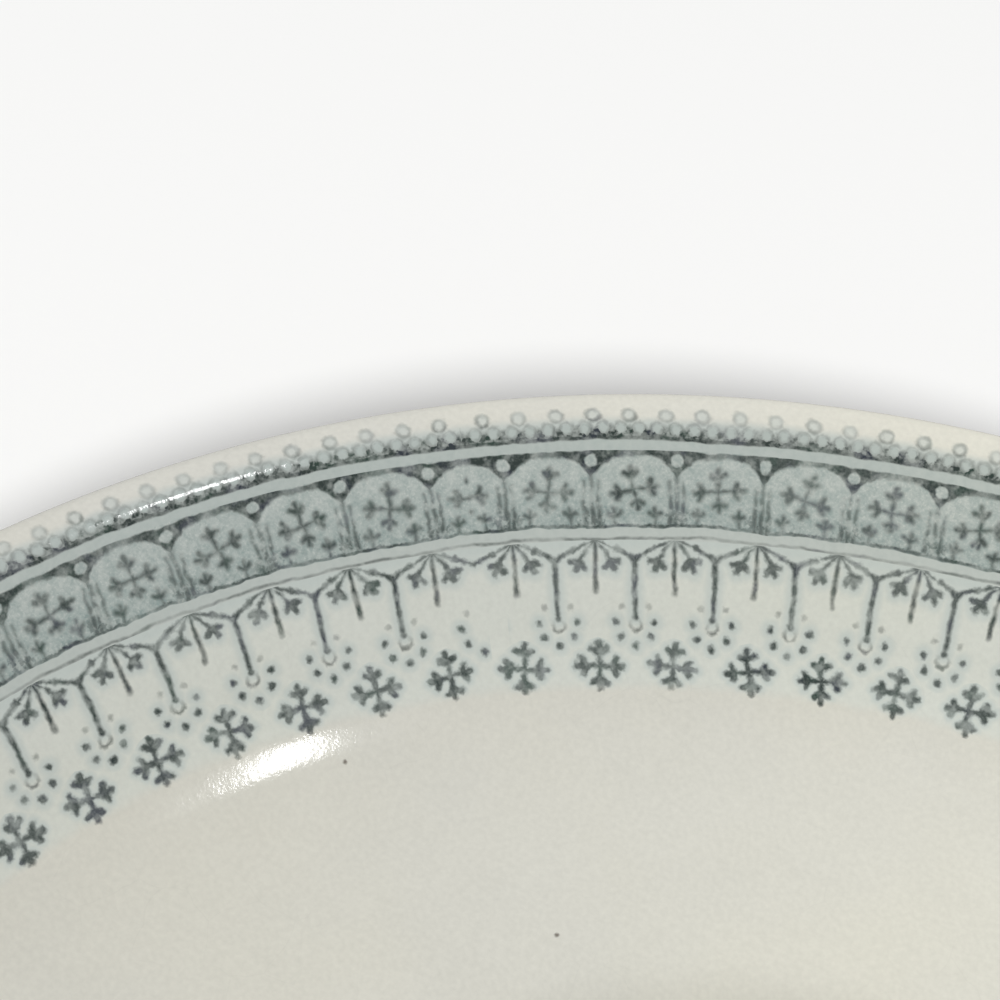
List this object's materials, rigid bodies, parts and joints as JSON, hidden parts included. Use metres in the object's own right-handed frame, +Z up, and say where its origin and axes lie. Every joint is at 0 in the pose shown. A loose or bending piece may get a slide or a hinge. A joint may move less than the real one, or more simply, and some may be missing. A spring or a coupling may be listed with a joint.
{
  "type": "saucer",
  "caption": "Round glazed tea saucer with a turned foot ring, sloping wall, shallow cup well and a printed border of beads, arches, pendants and florets.",
  "frame": {"origin": "middle of the foot ring's bearing face, the plane that the saucer stands on", "axes": "+Z up along the axis of the saucer; X and Y level, with the side that the picture shows towards +Y and -X"},
  "size_m": [0.15, 0.15, 0.0221],
  "materials": {
    "clay": "unglazed biscuit clay, bare on the foot ring's bearing face",
    "glaze": "clear gloss glaze over cream clay, slightly wavy and finely crazed",
    "dark_ink": "slate green printed colour under gloss glaze",
    "pale_ink": "pale grey-green printed wash under gloss glaze"
  },
  "bodies": {
    "root": {"biscuit_body": "clay", "glaze_coat": "glaze", "foot_hollow_glaze": "glaze", "bead_print": "dark_ink", "arcade_print": "pale_ink", "fringe_print": "dark_ink", "floret_print": "dark_ink"}
  },
  "joints": []
}
